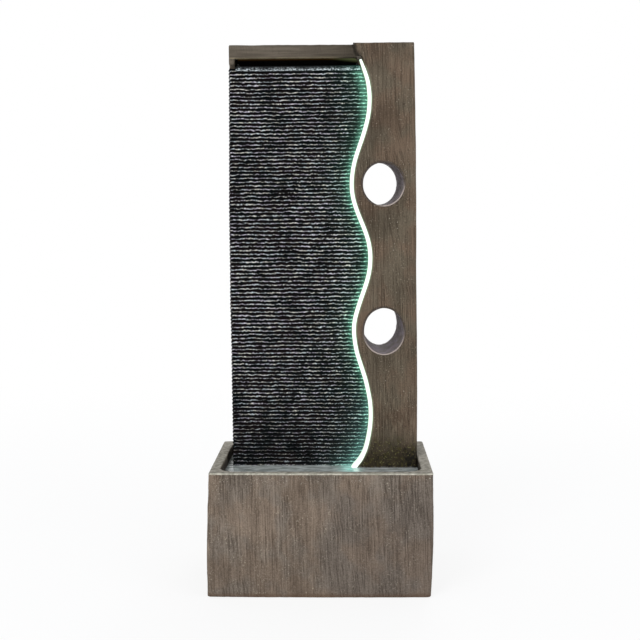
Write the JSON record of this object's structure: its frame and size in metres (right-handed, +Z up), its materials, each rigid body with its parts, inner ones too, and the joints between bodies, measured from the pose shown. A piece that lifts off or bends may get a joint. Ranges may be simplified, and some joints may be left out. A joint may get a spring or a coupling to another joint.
{
  "type": "water wall fountain",
  "caption": "Floor fountain: open basin, tall tower with ridged water wall, wavy light strip and column with round windows, pump inside.",
  "frame": {"origin": "on the ground under the middle of the basin", "axes": "+Z up along the tower, +X to the viewer's right, +Y to the rear; the front faces -Y"},
  "size_m": [0.3752, 0.2552, 0.927],
  "materials": {
    "basin_resin": "matt cast resin, brushed striations",
    "tower_resin": "matt cast resin, brushed striations",
    "facing_slate": "wet dark ridged slate look",
    "panel_resin": "matt cast resin sheet",
    "black_rubber": "matt",
    "pump_plastic": "fine moulded texture",
    "dial_plastic": "smooth",
    "stainless_steel": "bright",
    "insert_brass": "knurled",
    "shaft_ceramic": "ground",
    "ferrite_magnet": "sintered",
    "core_iron": "laminated",
    "coil_copper": "enamelled wire",
    "filter_foam": "open foam",
    "clear_hose": "clear soft vinyl",
    "light_silicone": "milky silicone, lit",
    "tape_board": "white solder mask",
    "lamp_chips": "phosphor"
  },
  "bodies": {
    "root": {"back_panel": "panel_resin", "basin": "basin_resin", "basin_feet": "black_rubber", "cord_gland": "pump_plastic", "door_strike": "stainless_steel", "gland_nut": "pump_plastic", "hinge_pins": "stainless_steel", "hose_clamps": "stainless_steel", "impeller_shaft": "shaft_ceramic", "junction_box": "pump_plastic", "junction_lid": "pump_plastic", "junction_screws": "stainless_steel", "lead_clips": "pump_plastic", "light_caps": "light_silicone", "light_chips": "lamp_chips", "light_lead": "black_rubber", "light_sleeve": "light_silicone", "light_tape": "tape_board", "motor_housing": "pump_plastic", "panel_screws": "stainless_steel", "pump_lead": "black_rubber", "pump_volute": "pump_plastic", "ripple_wall": "facing_slate", "riser_hose": "clear_hose", "shaft_bushes": "black_rubber", "spill_trough": "pump_plastic", "stator_coil": "coil_copper", "stator_core": "core_iron", "suction_cups": "black_rubber", "terminal_block": "dial_plastic", "threaded_inserts": "insert_brass", "tower_shell": "tower_resin", "volute_screws": "stainless_steel", "volute_seal": "black_rubber"},
    "pump_rotor": {"rotor_magnet": "ferrite_magnet", "impeller": "pump_plastic"},
    "cover": {"intake_cover": "pump_plastic", "filter_sponge": "filter_foam"},
    "dial": {"flow_dial": "dial_plastic"},
    "door": {"access_door": "panel_resin", "door_magnet": "ferrite_magnet"},
    "plug": {"drain_plug": "black_rubber"}
  },
  "joints": [
    {"name": "rotor_spin", "type": "hinge", "parent": "root", "child": "pump_rotor", "pos_m": [-0.075, 0.062, 0.044], "axis": [1, 0, 0], "continuous": true},
    {"name": "cover_pull", "type": "slide", "parent": "root", "child": "cover", "axis": [1, 0, 0], "range_m": [0, 0.026]},
    {"name": "dial_turn", "type": "hinge", "parent": "cover", "child": "dial", "pos_m": [-0.02, 0.062, 0.044], "axis": [1, 0, 0], "range_deg": [0, 90]},
    {"name": "door_swing", "type": "hinge", "parent": "root", "child": "door", "pos_m": [0.0585, 0.1055, 0.3], "axis": [0, 0, -1], "range_deg": [0, 110]},
    {"name": "plug_pull", "type": "slide", "parent": "root", "child": "plug", "axis": [0, 1, 0], "range_m": [0, 0.03]}
  ]
}
